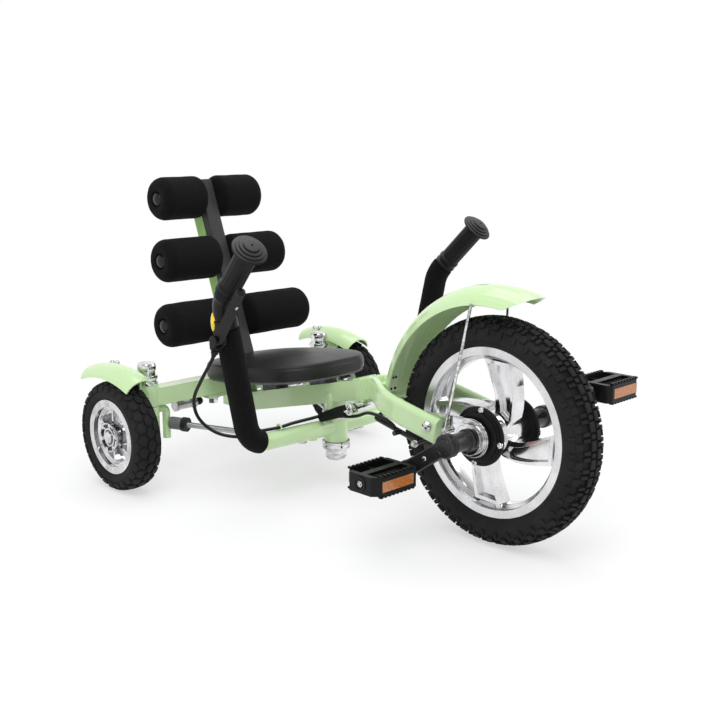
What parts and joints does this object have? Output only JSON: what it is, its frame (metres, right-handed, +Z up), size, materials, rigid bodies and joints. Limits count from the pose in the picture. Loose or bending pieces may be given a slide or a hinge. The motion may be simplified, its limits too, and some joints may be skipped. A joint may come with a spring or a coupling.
{
  "type": "low rider tricycle",
  "caption": "Low reclined three-wheel rider's cycle with pedals on the front wheel, lever steering of the rear wheels, foam backrest rollers and a hand brake.",
  "frame": {"origin": "on the ground, under the middle of the cycle's length and width", "axes": "+Z up, -Y the way it rides, +X the rider's left, all wheels on z = 0"},
  "size_m": [0.524, 0.8231, 0.4719],
  "materials": {
    "frame_paint": "pale pastel green gloss paint on steel",
    "chrome": "polished chrome plate",
    "steel": "bright zinc plated steel",
    "foam": "closed cell foam with a fine matt skin",
    "black_plastic": "moulded satin black",
    "seat_plastic": "moulded black with a fine grain",
    "black_metal": "black enamel",
    "grip_rubber": "ribbed soft rubber",
    "tyre": "moulded tread rubber",
    "amber": "clear amber prisms"
  },
  "bodies": {
    "frame": {"main_beam": "frame_paint", "rear_beam": "frame_paint", "rear_mount": "frame_paint", "rear_nuts": "chrome", "kingpin_bearings": "chrome", "axle_stops": "chrome", "back_post": "frame_paint", "back_cover": "black_plastic", "roller_rods": "steel", "rollers_low": "foam", "rollers_middle": "foam", "rollers_top": "foam", "roller_caps": "black_plastic", "seat": "seat_plastic", "seat_plate": "steel", "steering_post": "steel", "headset_cups": "chrome", "clamp_collar": "chrome", "brake_cable_middle": "grip_rubber"},
    "qr_lever": {"clamp_lever": "chrome", "clamp_handle": "black_plastic"},
    "boom": {"fork_yoke": "frame_paint", "fork_blade_right": "frame_paint", "fork_blade_left": "frame_paint", "axle_brackets": "steel", "bearing_cups": "chrome", "fork_bolts": "chrome", "front_fender": "frame_paint", "fender_stays": "chrome", "brake_cable_front": "grip_rubber"},
    "caliper_right": {"caliper_arm_right": "black_metal"},
    "caliper_left": {"caliper_arm_left": "black_metal"},
    "drive_wheel": {"front_tyre": "tyre", "front_wheel": "chrome", "hub_flanges": "black_plastic", "front_axle": "steel", "crank_right": "black_metal", "crank_left": "black_metal"},
    "foot_pedal_right": {"pedal_right": "black_plastic", "reflectors_right": "amber"},
    "foot_pedal_left": {"pedal_left": "black_plastic", "reflectors_left": "amber"},
    "steering": {"crossbar": "frame_paint", "sleeve_right": "foam", "sleeve_left": "foam", "grip_right": "grip_rubber", "grip_left": "grip_rubber", "brake_bracket": "black_plastic", "brake_cable_rear": "grip_rubber"},
    "brake_hand_lever": {"brake_lever": "black_plastic"},
    "track_rod_right": {"tie_rod_right": "steel"},
    "track_rod_left": {"tie_rod_left": "steel"},
    "stub_right": {"knuckle_right": "frame_paint", "rear_fender_right": "frame_paint"},
    "stub_left": {"knuckle_left": "frame_paint", "rear_fender_left": "frame_paint"},
    "back_wheel_right": {"rear_wheel_right": "chrome", "rear_tyre_right": "tyre"},
    "back_wheel_left": {"rear_wheel_left": "chrome", "rear_tyre_left": "tyre"}
  },
  "joints": [
    {"name": "boom_slide", "type": "slide", "parent": "frame", "child": "boom", "axis": [0, -0.9707, 0.2402], "range_m": [0, 0.06]},
    {"name": "qr_open", "type": "hinge", "parent": "frame", "child": "qr_lever", "pos_m": [-0.038, -0.01559, 0.14706], "axis": [0, 0.373, 0.9278], "range_deg": [0, 120]},
    {"name": "drive_spin", "type": "hinge", "parent": "boom", "child": "drive_wheel", "pos_m": [0, -0.2565, 0.155], "axis": [1, 0, 0], "continuous": true},
    {"name": "pedal_right_spin", "type": "hinge", "parent": "drive_wheel", "child": "foot_pedal_right", "pos_m": [-0.15, -0.19018, 0.11027], "axis": [1, 0, 0], "continuous": true},
    {"name": "pedal_left_spin", "type": "hinge", "parent": "drive_wheel", "child": "foot_pedal_left", "pos_m": [0.15, -0.32282, 0.19973], "axis": [1, 0, 0], "continuous": true},
    {"name": "steer", "type": "hinge", "parent": "frame", "child": "steering", "pos_m": [0, 0.0565, 0.1], "axis": [0, 0, 1], "range_deg": [-14, 14]},
    {"name": "brake_pull", "type": "hinge", "parent": "steering", "child": "brake_hand_lever", "pos_m": [-0.236, 0.039, 0.268], "axis": [-1, 0, 0], "range_deg": [0, 6], "stiffness_Nm_per_rad": 2},
    {"name": "caliper_right_swing", "type": "hinge", "parent": "boom", "child": "caliper_right", "pos_m": [0, -0.0515, 0.144], "axis": [0, 0, 1], "range_deg": [0, 1]},
    {"name": "caliper_left_swing", "type": "hinge", "parent": "boom", "child": "caliper_left", "pos_m": [0, -0.0515, 0.152], "axis": [0, 0, 1], "range_deg": [-1, 0]},
    {"name": "track_rod_right_swing", "type": "hinge", "parent": "steering", "child": "track_rod_right", "pos_m": [-0.05, 0.0795, 0.082], "axis": [0, 0, 1], "range_deg": [-16, 16]},
    {"name": "track_rod_left_swing", "type": "hinge", "parent": "steering", "child": "track_rod_left", "pos_m": [0.05, 0.0795, 0.082], "axis": [0, 0, 1], "range_deg": [-16, 16]},
    {"name": "stub_right_steer", "type": "hinge", "parent": "frame", "child": "stub_right", "pos_m": [-0.183, 0.2945, 0.13], "axis": [0, 0, 1], "range_deg": [-17, 17]},
    {"name": "stub_left_steer", "type": "hinge", "parent": "frame", "child": "stub_left", "pos_m": [0.183, 0.2945, 0.13], "axis": [0, 0, 1], "range_deg": [-17, 17]},
    {"name": "back_wheel_right_spin", "type": "hinge", "parent": "stub_right", "child": "back_wheel_right", "pos_m": [-0.239, 0.2885, 0.086], "axis": [1, 0, 0], "continuous": true},
    {"name": "back_wheel_left_spin", "type": "hinge", "parent": "stub_left", "child": "back_wheel_left", "pos_m": [0.239, 0.2885, 0.086], "axis": [1, 0, 0], "continuous": true}
  ],
  "couplings": [
    {"joint": "caliper_right_swing", "follows": "brake_pull", "ratio": 0.13},
    {"joint": "caliper_left_swing", "follows": "brake_pull", "ratio": -0.13},
    {"joint": "track_rod_right_swing", "follows": "steer", "ratio": -1.08},
    {"joint": "track_rod_left_swing", "follows": "steer", "ratio": -1.08},
    {"joint": "stub_right_steer", "follows": "steer", "ratio": -1.2},
    {"joint": "stub_left_steer", "follows": "steer", "ratio": -1.2}
  ]
}
